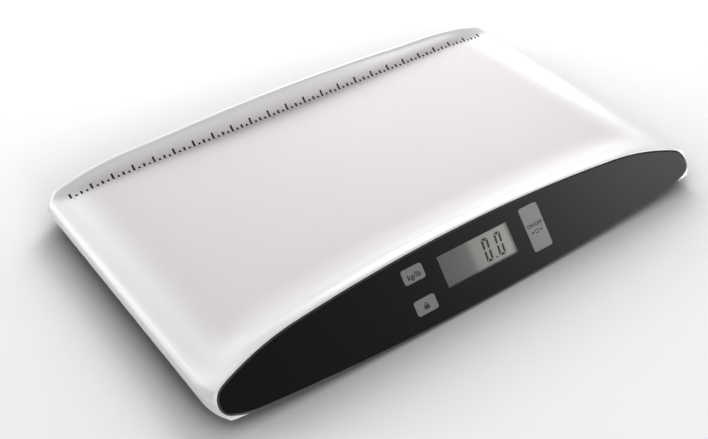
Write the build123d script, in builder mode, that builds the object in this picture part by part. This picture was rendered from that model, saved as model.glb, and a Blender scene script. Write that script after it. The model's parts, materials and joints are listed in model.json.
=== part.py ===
# Veterinary scale with a cradle-shaped tray, a dark leaning front panel and four load cell feet.
# Millimetres. X runs left to right, Y from the front panel to the back, Z up.
# The origin is on the floor under the middle of the body.
from build123d import *
from math import atan, cos, degrees, pi, radians, sin, sqrt, tan
import os

os.makedirs("parts", exist_ok=True)

# Each arch has a middle arc, two shoulder arcs and two tip arcs. Its bends say where these meet, as
# multiples of the arch's mean slope.

# Body
body_length = 635.0
body_depth = 378.0
underside_z = 2.5
tip_z = 24.0
crest_z = 61.5
crown_bends = (0.638, 2.524)
crown_tip_radius = 11.2
keel_bends = (0.955, 3.69)
keel_tip_radius = 10.1
wall = 2.6
rear_corner_radius = 14.0
front_corner_radius = 64.0
front_corner_depth = 49.0
corner_ease = 0.1
rear_edge_radius = 5.0

# Tray
tray_floor_z = 40.0
front_rim_angle = 26.0
rear_rim_angle = 47.0
front_land = 1.5
rear_land = 6.0
front_cove_radius = 60.0
rear_cove_radius = 12.0
tray_rib_depth = 7.4
tray_rib_thickness = 1.8
tray_rib_spacing = 60.0
tray_ribs_behind_crest = 35.0

# Front panel, leaning back from the vertical
panel_lean = 42.0
fascia_thickness = 2.5
fascia_rim_top = 2.4
fascia_keel_overrun = 1.5
fascia_rim_end = 8.5
fascia_crown_bends = (0.653, 2.5)
fascia_crown_tip_radius = 17.1
fascia_keel_bends = (0.889, 4.267)
fascia_keel_tip_radius = 12.0
fascia_gap = 0.6
fascia_chamfer = 1.4
opening_rim_bottom = 2.0
opening_keel_bends = (0.998, 3.794)
opening_keel_tip_radius = 13.6
ledge_width = 7.0
ledge_thickness = 2.5
ledge_cut_room = 0.2
peg_radius = 1.5
peg_clearance = 0.05
peg_tail = 1.2
peg_positions = (70.0, 150.0, 200.0)

# Display, in the plane of the panel: x across, v up from the panel's lower edge
window_width = 92.6
window_height = 34.1
window_v = 43.0
window_step = 1.2
window_flange_thickness = 0.75
window_flange = 2.0
window_gap = 0.15
lcd_margin_x = 3.2
lcd_margin_v = 3.45
lcd_thickness = 2.8
holder_wall = 2.5
holder_lip = 2.2
holder_lip_thickness = 0.8
holder_peg_radius = 0.9
holder_gap = 0.2
backlight_thickness = 2.0
zebra_width = 2.4
board_depth = 8.8
board_thickness = 1.6
board_end_margin = 10.1
board_edge_margin = 1.3
board_drop = 1.0
board_screw_inset_x = 4.5
board_screw_inset_v = 4.0
board_boss_radius = 3.0
board_screw_bite = 5.0
zebra_end_gap = 2.5
tape_thickness = 0.25

# Buttons
small_button_width = 25.8
small_button_height = 15.8
tall_button_width = 25.8
tall_button_height = 48.8
left_button_space = 18.8
right_button_space = 19.3
unit_button_rise = 12.8
hold_button_drop = 20.1
tall_button_drop = 1.7
button_corner_radius = 3.0
button_gap = 0.3
button_proud = 0.4
button_flange = 1.2
button_flange_thickness = 1.0
button_flange_rest_gap = 0.1
button_travel = 0.6
switch_size = 6.0
switch_height = 3.4
plunger_radius = 1.75
plunger_clearance = 0.05
plunger_reach = 1.8
plunger_play = 0.1
button_stem_radius = 2.6

# Feet and load cells
foot_end_inset = 92.5
foot_side_inset = 64.0
seat_z = 15.0
well_radius = 20.0
well_wall = 2.4
cup_gap = 1.0
cup_floor_z = 1.8
cup_floor_top = 5.0
cup_headroom = 3.0
cup_skirt_wall = 2.0
cup_rib_thickness = 1.6
stem_radius = 6.0
pad_radius = 17.0
pad_thickness = 3.2
pad_chamfer = 0.6
pad_gap = 0.05
carrier_size = 50.0
carrier_floor = 2.0
carrier_wall_height = 3.0
carrier_hole_radius = 12.0
carrier_screw_inset = 4.0
carrier_post_radius = 3.5
carrier_screw_bite = 4.5
foot_screw_bite = 8.0
cell_size = 34.0
cell_thickness = 2.5
cell_gap = 0.2
cell_tongue_width = 14.0
cell_slot_width = 2.0
cell_end_bar = 6.0
gauge_length = 6.0
gauge_width = 3.0
gauge_thickness = 0.2

# What is soldered to the back of the display board, as places from the board's middle
controller_place = (-26, 0)
controller_size = 12.0
controller_thickness = 1.8
capacitor_places = [(18, 12), (26, 12)]
capacitor_radius = 2.5
capacitor_height = 5.0
converter_place = (14, -8)
crystal_place = (-42, 12)
resistor_row = (-10, 18)
resistor_pitch = 3.0
resistor_count = 8
buzzer_place = (36, -6)
buzzer_radius = 6.0
buzzer_height = 4.5

# Fasteners
screw_gap = 0.05
screw_hole_gap = 0.2
blind_hole_room = 0.5
counterbore_gap = 0.5
case_screw_radius = 1.5
case_head_radius = 3.1
case_head_height = 2.2
case_screw_reach = 11.0
case_seat_z = 15.5
case_post_top = 20.0
case_post_radius = 5.4
case_boss_radius = 4.0
end_screw_inset = 42.5
end_screw_y = 75.0
rear_screw_inset = 29.0
rear_screw_x = 120.0
front_screw_inset = 84.0
front_screw_x = 150.0
small_screw_radius = 1.3
small_head_radius = 2.5
small_head_height = 1.6
head_slot_width = 0.8
head_slot_depth = 0.8
head_slot_share = 0.7

# Base
base_rib_gap = 2.0
base_rib_thickness = 1.8
base_rib_spacing = 60.0
front_room_depth = 40.0

# Battery bay and door
cell_count = 4
battery_diameter = 14.2
battery_length = 48.8
battery_tip_radius = 2.7
battery_tip_length = 1.4
battery_edge = 0.8
battery_pitch = 15.2
bay_y = 40.0
bay_end_room = 3.8
bay_hinge_room = 3.0
bay_side_room = 0.8
bay_wall = 2.0
battery_lift = 0.6
battery_headroom = 0.4
door_thickness = 2.2
door_gap = 0.4
hinge_pin_radius = 1.2
hinge_clearance = 0.05
hinge_pin_reach = 1.6
latch_width = 14.0
latch_height = 4.3
latch_thickness = 1.2
latch_nib = 0.15
grip_count = 4
grip_pitch = 3.0
grip_depth = 0.5
grip_length = 22.0
grip_width = 1.5
notch_radius = 8.0
notch_depth = 1.5
contact_thickness = 0.4
contact_width = 9.0
tab_length = 5.2
tab_width = 3.0
tab_slot_gap = 0.2

# Leads
sensor_lead_diameter = 2.2
battery_lead_diameter = 1.6
connector_rise = 3.0
connector_depth = 4.5
connector_height = 5.0
connector_width = 8.0
front_lead_x = 66.0
rear_lead_x = 52.0
lead_run_to_board = 16.0
lead_lift = 0.3
lead_rib_gap = 0.1

# Values that follow from the sizes above
half_length = body_length / 2
half_depth = body_depth / 2
lean = radians(panel_lean)
crest_v = (crest_z - underside_z) / cos(lean)
tip_v = (tip_z - underside_z) / cos(lean)
crest_y = -half_depth + crest_v * sin(lean)
rear_crest_y = half_depth - rear_land
carrier_top = seat_z + carrier_floor + carrier_wall_height
cell_top = seat_z + carrier_floor + cell_thickness
cup_skirt_top = seat_z - cup_headroom
base_rib_top = seat_z - base_rib_gap
foot_x = half_length - foot_end_inset
foot_y = half_depth - foot_side_inset
panel_normal = (0, -cos(lean), sin(lean))
panel_plane = Plane(origin=(0, -half_depth, underside_z), x_dir=(1, 0, 0), z_dir=panel_normal)
corners = {
    "front_left": (-foot_x, -foot_y),
    "front_right": (foot_x, -foot_y),
    "rear_left": (-foot_x, foot_y),
    "rear_right": (foot_x, foot_y),
}
case_screw_places = []
for side in (-1, 1):
    for y in (-end_screw_y, end_screw_y):
        case_screw_places.append((side * (half_length - end_screw_inset), y))
    case_screw_places.append((side * rear_screw_x, half_depth - rear_screw_inset))
    case_screw_places.append((side * front_screw_x, front_screw_inset - half_depth))
body_crown = (crest_z - tip_z, crown_bends, crown_tip_radius)
body_keel = (tip_z - underside_z, keel_bends, keel_tip_radius)
panel_half_width = half_length - fascia_rim_end
panel_crown = (crest_v - fascia_rim_top - tip_v, fascia_crown_bends, fascia_crown_tip_radius)
panel_keel = (tip_v + fascia_keel_overrun, fascia_keel_bends, fascia_keel_tip_radius)
opening_keel = (tip_v - opening_rim_bottom, opening_keel_bends, opening_keel_tip_radius)

# Display and button places that follow from the window
lcd_width = window_width + 2 * lcd_margin_x
lcd_height = window_height + 2 * lcd_margin_v
lcd_front = fascia_thickness + holder_lip_thickness
lcd_back = lcd_front + lcd_thickness
holder_width = lcd_width + 2 * (holder_gap + holder_wall)
holder_height = lcd_height + 2 * (holder_gap + holder_wall)
left_buttons_x = -(window_width / 2 + left_button_space + small_button_width / 2)
tall_button_x = window_width / 2 + right_button_space + tall_button_width / 2
buttons = {
    "unit_button": (left_buttons_x, window_v + unit_button_rise, small_button_width, small_button_height),
    "hold_button": (left_buttons_x, window_v - hold_button_drop, small_button_width, small_button_height),
    "power_tare_button": (tall_button_x, window_v - tall_button_drop, tall_button_width, tall_button_height),
}
board_v = window_v - board_drop
board_width = 2 * (tall_button_x + tall_button_width / 2 + board_end_margin)
board_height = holder_height + 2 * board_edge_margin
board_back = board_depth + board_thickness
connector_v = board_v + connector_rise


def panel_point(x, v, depth):
    """A place given across and up the panel and behind its face, in the body's own axes."""
    place = panel_plane.from_local_coords(Vector(x, v, -depth))
    return place.X, place.Y, place.Z


def arch_arcs(half_width, arch):
    """An arch's middle and shoulder radii and the two turns where its arcs meet, from level to upright."""
    height, bends, tip_radius = arch
    first, second = (bend * atan(height / half_width) for bend in bends)
    across = half_width - tip_radius * (1 - sin(second))
    up = height - tip_radius * cos(second)
    cross = (cos(first) - cos(second)) * sin(first) - (sin(second) - sin(first)) * (1 - cos(first))
    shoulder = (up * sin(first) - across * (1 - cos(first))) / cross
    middle = (across - shoulder * (sin(second) - sin(first))) / sin(first)
    return middle, shoulder, first, second


def lens_outline(half_width, centre, crown, keel, inset):
    """A flat face between an arched crown and a flatter keel that meet at round tips.

    The crown and the keel are each (height, bends, tip radius) before the inset."""
    with BuildSketch() as outline:
        with BuildLine():
            for up, arch in ((1, crown), (-1, keel)):
                middle, shoulder, first, second = arch_arcs(half_width, arch)
                tip_radius = arch[2]
                low = centre + up * (arch[0] - middle)
                shoulder_x = (middle - shoulder) * sin(first)
                shoulder_y = low + up * (middle - shoulder) * cos(first)
                tip_x = shoulder_x + (shoulder - tip_radius) * sin(second)
                tip_y = shoulder_y + up * (shoulder - tip_radius) * cos(second)
                first, second = degrees(first), degrees(second)
                CenterArc((0, low), middle - inset, up * 90 - first, 2 * first)
                for side in (-1, 1):
                    turn = -side * up
                    from_shoulder = up * 90 + turn * first
                    from_tip = up * 90 + turn * second
                    shoulder_centre = (side * shoulder_x, shoulder_y)
                    CenterArc(shoulder_centre, shoulder - inset, from_shoulder, turn * (second - first))
                    CenterArc((side * tip_x, tip_y), tip_radius - inset, from_tip, turn * (90 - second))
        make_face()
    return outline.sketch


def body_section(inset):
    """Front view of the body, drawn in by inset."""
    return lens_outline(half_length, tip_z, body_crown, body_keel, inset)


def panel_section(inset):
    """Outline of the dark panel in its own plane, drawn in by inset."""
    return lens_outline(panel_half_width, tip_v, panel_crown, panel_keel, inset)


def opening_section():
    """Outline of the way in behind the panel's ledge."""
    return lens_outline(panel_half_width, tip_v, panel_crown, opening_keel, ledge_width)


def trough_outline(inset):
    """Side view of the space over the tray: front rim, floor and rear rim, lowered by inset."""
    floor = tray_floor_z - inset
    front = radians(front_rim_angle)
    rear = radians(rear_rim_angle)
    front_foot = crest_y + front_land + (crest_z - inset / cos(front) - floor) / tan(front)
    rear_foot = rear_crest_y - (crest_z - inset / cos(rear) - floor) / tan(rear)
    above = crest_z + wall
    front_top = (front_foot - (above - floor) / tan(front), above)
    rear_top = (rear_foot + (above - floor) / tan(rear), above)
    with BuildSketch() as outline:
        with BuildLine():
            FilletPolyline(
                front_top,
                (front_foot, floor),
                (rear_foot, floor),
                rear_top,
                radius=[front_cove_radius + inset, rear_cove_radius + inset],
            )
            Line(rear_top, front_top)
        make_face()
    return outline.sketch


def arch_height(x, half_width, arch, inset):
    """Height of an arch over its tips at x, for x on its middle or shoulder arc."""
    middle, shoulder, first, _ = arch_arcs(half_width, arch)
    height = arch[0]
    if abs(x) <= middle * sin(first):
        return height - middle + sqrt((middle - inset) ** 2 - x**2)
    centre_x = (middle - shoulder) * sin(first)
    centre_y = height - middle + (middle - shoulder) * cos(first)
    return centre_y + sqrt((shoulder - inset) ** 2 - (abs(x) - centre_x) ** 2)


def corner_waste(end, radius, depth, inset):
    """What is cut off the two corners at one end of the body to round them in plan."""
    with BuildPart() as waste:
        with BuildSketch():
            for side in (-1, 1):
                with Locations((side * half_length, end)):
                    Rectangle(2 * radius, 2 * abs(depth))
                with Locations((side * (half_length - radius), end - depth)):
                    Circle(radius + corner_ease - inset, mode=Mode.SUBTRACT)
        extrude(amount=crest_z)
    return waste.part


def front_corner_waste(inset):
    """What is cut off the two front corners, beside the tips of the panel."""
    return corner_waste(-half_depth, front_corner_radius, -front_corner_depth, inset)


def rear_corner_waste(inset):
    """What is cut off the two rear corners."""
    return corner_waste(half_depth, rear_corner_radius, rear_corner_radius, inset)


def body_form(inset, front_inset):
    """The whole body as one closed form with square corners, drawn in by inset behind the front."""
    with BuildPart() as form:
        with BuildSketch(Plane.XZ.offset(inset - half_depth)):
            add(body_section(inset))
        extrude(amount=body_depth - inset)
        split(bisect_by=panel_plane.offset(-front_inset), keep=Keep.BOTTOM)
        with BuildSketch(Plane.YZ):
            add(trough_outline(inset))
        extrude(amount=half_length, both=True, mode=Mode.SUBTRACT)
    return form.part


def finish(sub_part, name):
    """Labels a finished piece and writes it."""
    sub_part.part.label = name
    export_step(sub_part.part, f"parts/{name}.step")


def rib_lines(length, spacing):
    """Places of evenly spaced ribs that lie inside a length, counted out from its middle."""
    count = int((length - spacing) / 2 / spacing)
    return [step * spacing for step in range(-count, count + 1)]


def screw_group(seat_plane, spots, radius, length, head_radius, head_height):
    """Screws whose heads sit on the plane, with their shanks along its normal."""
    with BuildPart() as screws:
        with BuildSketch(seat_plane):
            with Locations(*spots):
                Circle(radius)
        extrude(amount=length)
        with BuildSketch(seat_plane):
            with Locations(*spots):
                Circle(head_radius)
        extrude(amount=-head_height)
        with BuildSketch(seat_plane.offset(-head_height)):
            with Locations(*spots):
                Rectangle(2 * head_slot_share * head_radius, head_slot_width)
                Rectangle(head_slot_width, 2 * head_slot_share * head_radius)
        extrude(amount=head_slot_depth, mode=Mode.SUBTRACT)
    return screws


def bend_radii(points):
    """The largest tangent arcs that fit between the runs of a route."""
    places = [Vector(*point) for point in points]
    radii = []
    for before, here, after in zip(places, places[1:], places[2:]):
        run_in = here - before
        run_out = after - here
        half_turn = radians(run_in.get_angle(run_out)) / 2
        radii.append(0.45 * min(run_in.length, run_out.length) / tan(half_turn))
    return radii


def lead_tube(points, diameter, name):
    """A lead of round section along straight runs joined by tangent arcs."""
    radii = bend_radii(points)
    with BuildPart() as tube:
        with BuildLine() as route:
            FilletPolyline(*points, radius=radii)
        with BuildSketch(Plane(origin=route.line @ 0, z_dir=route.line % 0)):
            Circle(diameter / 2)
        sweep()
    straight = pi * (diameter / 2) ** 2 * sum(edge.length for edge in route.line.edges())
    print(name, "volume over section times length:", round(tube.part.volume / straight, 4))
    print(name, "bend radii:", [round(radius, 1) for radius in radii])
    return tube


# Body form, with its rear edges and its corners rounded, and the room inside it
with BuildPart() as envelope:
    add(body_form(0, 0))
    fillet(envelope.faces().filter_by(Axis.Y).sort_by(Axis.Y)[-1].edges(), rear_edge_radius)
    add(front_corner_waste(0), mode=Mode.SUBTRACT)
    add(rear_corner_waste(0), mode=Mode.SUBTRACT)
with BuildPart() as core:
    add(body_form(wall, fascia_thickness + ledge_thickness))
    add(front_corner_waste(wall), mode=Mode.SUBTRACT)
    add(rear_corner_waste(wall), mode=Mode.SUBTRACT)

# Opening for the dark panel: a pocket as deep as the panel, with a narrower way in behind its ledge
with BuildPart() as front_opening:
    with BuildSketch(panel_plane):
        add(panel_section(-fascia_gap))
    extrude(amount=-fascia_thickness)
    with BuildSketch(panel_plane.offset(-fascia_thickness)):
        add(opening_section())
    extrude(amount=-ledge_thickness - ledge_cut_room)

# Pegs of the dark panel, in the middle of the ledge under its crown
peg_places = []
for peg_x in peg_positions:
    peg_v = tip_v + arch_height(peg_x, panel_half_width, panel_crown, ledge_width / 2)
    peg_places += [(peg_x, peg_v), (-peg_x, peg_v)]
with BuildPart() as peg_holes:
    with BuildSketch(panel_plane.offset(-fascia_thickness)):
        with Locations(*peg_places):
            Circle(peg_radius + peg_clearance)
    extrude(amount=-2 * ledge_thickness)

# Tray cover: the top shell with its cradle, stiffening ribs and bosses for the case screws
tray_rib_z = tray_floor_z - wall - tray_rib_depth
tray_rib_front = crest_y + tray_ribs_behind_crest
tray_rib_rear = rear_crest_y - rear_land
with BuildPart() as tray_room:
    add(core.part)
    split(bisect_by=Plane.XY.offset(tip_z), keep=Keep.TOP)
    with BuildSketch(Plane.XY.offset(tray_rib_z)):
        for x in rib_lines(body_length, tray_rib_spacing):
            with Locations((x, (tray_rib_front + tray_rib_rear) / 2)):
                Rectangle(tray_rib_thickness, tray_rib_rear - tray_rib_front)
        for y in rib_lines(body_depth, tray_rib_spacing):
            if y > tray_rib_front:
                with Locations((0, y)):
                    Rectangle(body_length - 2 * tray_rib_spacing, tray_rib_thickness)
    extrude(amount=crest_z - tray_rib_z, mode=Mode.SUBTRACT)
    with BuildSketch(Plane.XY.offset(tip_z)):
        with Locations(*case_screw_places):
            Circle(case_boss_radius)
    extrude(amount=crest_z, mode=Mode.SUBTRACT)
with BuildPart() as tray_cover:
    add(envelope.part)
    split(bisect_by=Plane.XY.offset(tip_z), keep=Keep.TOP)
    add(tray_room.part, mode=Mode.SUBTRACT)
    add(front_opening.part, mode=Mode.SUBTRACT)
    add(peg_holes.part, mode=Mode.SUBTRACT)
    with BuildSketch(Plane.XY.offset(case_post_top)):
        with Locations(*case_screw_places):
            Circle(case_boss_radius)
    extrude(amount=tip_z - case_post_top + wall)
    with BuildSketch(Plane.XY.offset(case_post_top)):
        with Locations(*case_screw_places):
            Circle(case_screw_radius + screw_gap)
    extrude(amount=case_screw_reach + blind_hole_room, mode=Mode.SUBTRACT)
finish(tray_cover, "tray_cover")

# Battery bay sizes: cells lie side by side along Y, with their ends towards the left and right
cell_length = battery_length + battery_tip_length
bay_length = cell_length + 2 * bay_end_room
bay_width = cell_count * battery_pitch + bay_hinge_room + bay_side_room
bay_front = bay_y - bay_width / 2
bay_rear = bay_y + bay_width / 2
door_top = underside_z + door_thickness
battery_z = door_top + battery_lift + battery_diameter / 2
bay_ceiling = battery_z + battery_diameter / 2 + battery_headroom
battery_rows = [bay_front + bay_hinge_room + battery_pitch * (row + 0.5) for row in range(cell_count)]
hinge_y = bay_front + door_gap + door_thickness
tab_z = base_rib_top + battery_lead_diameter / 2

# Base shell: the underside with its ribs, screw posts, foot wells and battery bay
carrier_screw_offset = carrier_size / 2 - carrier_screw_inset
carrier_screw_places = []
for foot in corners.values():
    for side in (-1, 1):
        shift = side * carrier_screw_offset
        carrier_screw_places.append((foot[0] + shift, foot[1] + shift))
with BuildPart() as base_room:
    add(core.part)
    split(bisect_by=Plane.XY.offset(tip_z), keep=Keep.BOTTOM)
    with BuildSketch():
        rib_rear = half_depth
        rib_front = front_room_depth - half_depth
        for x in rib_lines(body_length, base_rib_spacing):
            with Locations((x, (rib_front + rib_rear) / 2)):
                Rectangle(base_rib_thickness, rib_rear - rib_front)
        for y in rib_lines(body_depth, base_rib_spacing):
            with Locations((0, y)):
                Rectangle(body_length, base_rib_thickness)
    extrude(amount=base_rib_top, mode=Mode.SUBTRACT)
    with BuildSketch():
        with Locations(*corners.values()):
            Circle(well_radius + well_wall)
        with Locations(*carrier_screw_places):
            Circle(carrier_post_radius)
    extrude(amount=seat_z, mode=Mode.SUBTRACT)
    with BuildSketch():
        with Locations(*case_screw_places):
            Circle(case_post_radius)
    extrude(amount=case_post_top, mode=Mode.SUBTRACT)
    with BuildSketch():
        with Locations((0, bay_y)):
            Rectangle(bay_length + 2 * bay_wall, bay_width + 2 * bay_wall)
    extrude(amount=bay_ceiling + bay_wall, mode=Mode.SUBTRACT)
with BuildPart() as base_shell:
    add(envelope.part)
    split(bisect_by=Plane.XY.offset(tip_z), keep=Keep.BOTTOM)
    add(base_room.part, mode=Mode.SUBTRACT)
    add(front_opening.part, mode=Mode.SUBTRACT)
    with BuildSketch():
        with Locations(*corners.values()):
            Circle(well_radius)
    extrude(amount=seat_z, mode=Mode.SUBTRACT)
    with BuildSketch(Plane.XY.offset(seat_z)):
        with Locations(*carrier_screw_places):
            Circle(small_screw_radius + screw_gap)
    extrude(amount=-carrier_screw_bite - blind_hole_room, mode=Mode.SUBTRACT)
    with BuildSketch():
        with Locations(*case_screw_places):
            Circle(case_head_radius + counterbore_gap)
    extrude(amount=case_seat_z, mode=Mode.SUBTRACT)
    with BuildSketch():
        with Locations(*case_screw_places):
            Circle(case_screw_radius + screw_hole_gap)
    extrude(amount=case_post_top, mode=Mode.SUBTRACT)
    with BuildSketch():
        with Locations((0, bay_y)):
            Rectangle(bay_length, bay_width)
    extrude(amount=bay_ceiling, mode=Mode.SUBTRACT)
    with BuildSketch(Plane.YZ):
        with Locations((hinge_y, door_top)):
            Circle(hinge_pin_radius + hinge_clearance)
    extrude(amount=bay_length / 2 + hinge_pin_reach + door_gap, both=True, mode=Mode.SUBTRACT)
    with BuildSketch(Plane.YZ.offset(-bay_length / 2 - bay_wall)):
        with Locations((battery_rows[0], tab_z), (battery_rows[-1], tab_z)):
            Rectangle(tab_width + 2 * tab_slot_gap, contact_thickness + 2 * tab_slot_gap)
    extrude(amount=bay_wall, mode=Mode.SUBTRACT)
    with BuildSketch():
        with Locations((0, bay_rear)):
            Circle(notch_radius)
    extrude(amount=underside_z + notch_depth, mode=Mode.SUBTRACT)
finish(base_shell, "base_shell")

# Battery door: a plate with a rolled hinge edge, stub pins, a latch tongue and grip grooves
door_rear = bay_rear - door_gap
door_half = bay_length / 2 - door_gap
with BuildPart() as battery_door:
    with BuildSketch(Plane.XY.offset(underside_z)):
        with Locations((0, (hinge_y + door_rear) / 2)):
            Rectangle(2 * door_half, door_rear - hinge_y)
    extrude(amount=door_thickness)
    with BuildSketch(Plane.YZ):
        with Locations((hinge_y, door_top)):
            Circle(door_thickness)
    extrude(amount=door_half, both=True)
    with BuildSketch(Plane.YZ):
        with Locations((hinge_y, door_top)):
            Circle(hinge_pin_radius)
    extrude(amount=bay_length / 2 + hinge_pin_reach, both=True)
    with BuildSketch(Plane.XY.offset(door_top)):
        with Locations((0, door_rear - latch_thickness / 2)):
            Rectangle(latch_width, latch_thickness)
    extrude(amount=latch_height)
    with BuildSketch(Plane.XY.offset(door_top + latch_height)):
        with Locations((0, door_rear - (latch_thickness - latch_nib) / 2)):
            Rectangle(latch_width, latch_thickness + latch_nib)
    extrude(amount=-latch_thickness)
    with BuildSketch(Plane.XY.offset(underside_z)):
        for step in range(grip_count):
            with Locations((0, door_rear - grip_pitch * (step + 1.5))):
                SlotOverall(grip_length, grip_width)
    extrude(amount=grip_depth, mode=Mode.SUBTRACT)
finish(battery_door, "battery_door")

# Battery cells, turned end for end from row to row
for row, row_y in enumerate(battery_rows):
    way = 1 if row % 2 == 0 else -1
    with BuildPart() as battery_cell:
        with BuildSketch(Plane.YZ.offset(-way * cell_length / 2)):
            with Locations((row_y, battery_z)):
                Circle(battery_diameter / 2)
        extrude(amount=way * battery_length)
        chamfer(battery_cell.edges().filter_by(GeomType.CIRCLE), battery_edge)
        with BuildSketch(Plane.YZ.offset(way * (battery_length - cell_length / 2))):
            with Locations((row_y, battery_z)):
                Circle(battery_tip_radius)
        extrude(amount=way * battery_tip_length)
    finish(battery_cell, f"battery_cell_{row + 1}")

# Battery contacts: a backing plate on the bay's end wall with a bent leaf that reaches the cell
contact_reach = bay_end_room - contact_thickness
for name, side in (("left", -1), ("right", 1)):
    wall_x = side * bay_length / 2
    with BuildPart() as contacts:
        for row_y in battery_rows:
            with BuildSketch(Plane.XZ.offset(-row_y)):
                with BuildLine():
                    Polyline(
                        (wall_x - side * contact_thickness, battery_z - contact_width / 2),
                        (wall_x - side * contact_reach, battery_z),
                        (wall_x - side * contact_thickness, battery_z + contact_width / 2),
                    )
                trace(line_width=contact_thickness)
                with Locations((wall_x - side * contact_thickness / 2, battery_z)):
                    Rectangle(contact_thickness, contact_width + 2)
            extrude(amount=contact_width / 2, both=True)
        if side < 0:
            with BuildSketch(Plane.XY.offset(tab_z - contact_thickness / 2)):
                for row_y in (battery_rows[0], battery_rows[-1]):
                    with Locations((wall_x + contact_thickness / 2 - tab_length / 2, row_y)):
                        Rectangle(tab_length + contact_thickness, tab_width)
            extrude(amount=contact_thickness)
    finish(contacts, f"battery_contacts_{name}")

# Front panel: the dark plate with its window step, button holes, screw bosses and pegs
board_screw_places = []
for side in (-1, 1):
    for rise in (-1, 1):
        screw_x = side * (board_width / 2 - board_screw_inset_x)
        screw_v = board_v + rise * (board_height / 2 - board_screw_inset_v)
        board_screw_places.append((screw_x, screw_v))
fascia_back = panel_plane.offset(-fascia_thickness)
with BuildPart() as front_fascia:
    with BuildSketch(panel_plane):
        add(panel_section(0))
    extrude(amount=-fascia_thickness)
    chamfer(front_fascia.faces().filter_by(panel_plane).sort_by(Axis.Y)[0].edges(), fascia_chamfer)
    add(envelope.part, mode=Mode.INTERSECT)
    with BuildSketch(panel_plane):
        with Locations((0, window_v)):
            Rectangle(window_width, window_height)
    extrude(amount=-fascia_thickness, mode=Mode.SUBTRACT)
    with BuildSketch(panel_plane.offset(-window_step)):
        with Locations((0, window_v)):
            Rectangle(window_width + 2 * window_flange, window_height + 2 * window_flange)
    extrude(amount=-fascia_thickness, mode=Mode.SUBTRACT)
    with BuildSketch(panel_plane):
        for x, v, width, height in buttons.values():
            with Locations((x, v)):
                hole = (width + 2 * button_gap, height + 2 * button_gap)
                RectangleRounded(*hole, button_corner_radius + button_gap)
    extrude(amount=-fascia_thickness, mode=Mode.SUBTRACT)
    with BuildSketch(fascia_back):
        with Locations(*board_screw_places):
            Circle(board_boss_radius)
    extrude(amount=fascia_thickness - board_depth)
    with BuildSketch(fascia_back):
        with Locations(*peg_places):
            Circle(peg_radius)
    extrude(amount=-ledge_thickness - peg_tail)
    with BuildSketch(panel_plane.offset(-board_depth)):
        with Locations(*board_screw_places):
            Circle(small_screw_radius + screw_gap)
    extrude(amount=board_screw_bite + blind_hole_room, mode=Mode.SUBTRACT)
finish(front_fascia, "front_fascia")

# Display window, its tape ring, the glass, the diffuser, the contact strips and their holder
window_back = window_step + tape_thickness + window_flange_thickness
with BuildPart() as display_window:
    with BuildSketch(panel_plane):
        with Locations((0, window_v)):
            Rectangle(window_width - 2 * window_gap, window_height - 2 * window_gap)
    extrude(amount=-window_back)
    flange_shrink = window_flange - window_gap
    with BuildSketch(panel_plane.offset(-window_back)):
        with Locations((0, window_v)):
            Rectangle(window_width + 2 * flange_shrink, window_height + 2 * flange_shrink)
    extrude(amount=window_flange_thickness)
finish(display_window, "display_window")
with BuildPart() as window_tape:
    with BuildSketch(panel_plane.offset(-window_step)):
        with Locations((0, window_v)):
            Rectangle(window_width + 2 * flange_shrink, window_height + 2 * flange_shrink)
            Rectangle(window_width + window_gap, window_height + window_gap, mode=Mode.SUBTRACT)
    extrude(amount=-tape_thickness)
finish(window_tape, "window_tape")
holder_pegs = []
for side in (-1, 1):
    for rise in (-1, 1):
        peg_v = window_v + rise * (holder_height - holder_wall) / 2
        holder_pegs.append((side * (holder_width - holder_wall) / 2, peg_v))
with BuildPart() as lcd_holder:
    with BuildSketch(fascia_back):
        with Locations((0, window_v)):
            Rectangle(holder_width, holder_height)
            Rectangle(lcd_width - 2 * holder_lip, lcd_height - 2 * holder_lip, mode=Mode.SUBTRACT)
    extrude(amount=fascia_thickness - board_depth)
    with BuildSketch(panel_plane.offset(-lcd_front)):
        with Locations((0, window_v)):
            Rectangle(lcd_width + 2 * holder_gap, lcd_height + 2 * holder_gap)
    extrude(amount=lcd_front - board_depth, mode=Mode.SUBTRACT)
    with BuildSketch(panel_plane.offset(-board_depth)):
        with Locations(*holder_pegs):
            Circle(holder_peg_radius)
    extrude(amount=-board_thickness - holder_peg_radius)
finish(lcd_holder, "lcd_holder")
with BuildPart() as lcd_panel:
    with BuildSketch(panel_plane.offset(-lcd_front)):
        with Locations((0, window_v)):
            Rectangle(lcd_width, lcd_height)
    extrude(amount=-lcd_thickness)
finish(lcd_panel, "lcd_panel")
zebra_v = lcd_height / 2 - zebra_width
with BuildPart() as zebra_strips:
    with BuildSketch(panel_plane.offset(-lcd_back)):
        with Locations((0, window_v - zebra_v), (0, window_v + zebra_v)):
            Rectangle(lcd_width - 2 * zebra_end_gap, zebra_width)
    extrude(amount=lcd_back - board_depth)
finish(zebra_strips, "zebra_strips")
with BuildPart() as lcd_backlight:
    with BuildSketch(panel_plane.offset(-lcd_back)):
        with Locations((0, window_v)):
            Rectangle(lcd_width - 2 * zebra_end_gap, 2 * zebra_v - 2 * zebra_width)
    extrude(amount=-backlight_thickness)
finish(lcd_backlight, "lcd_backlight")

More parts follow.
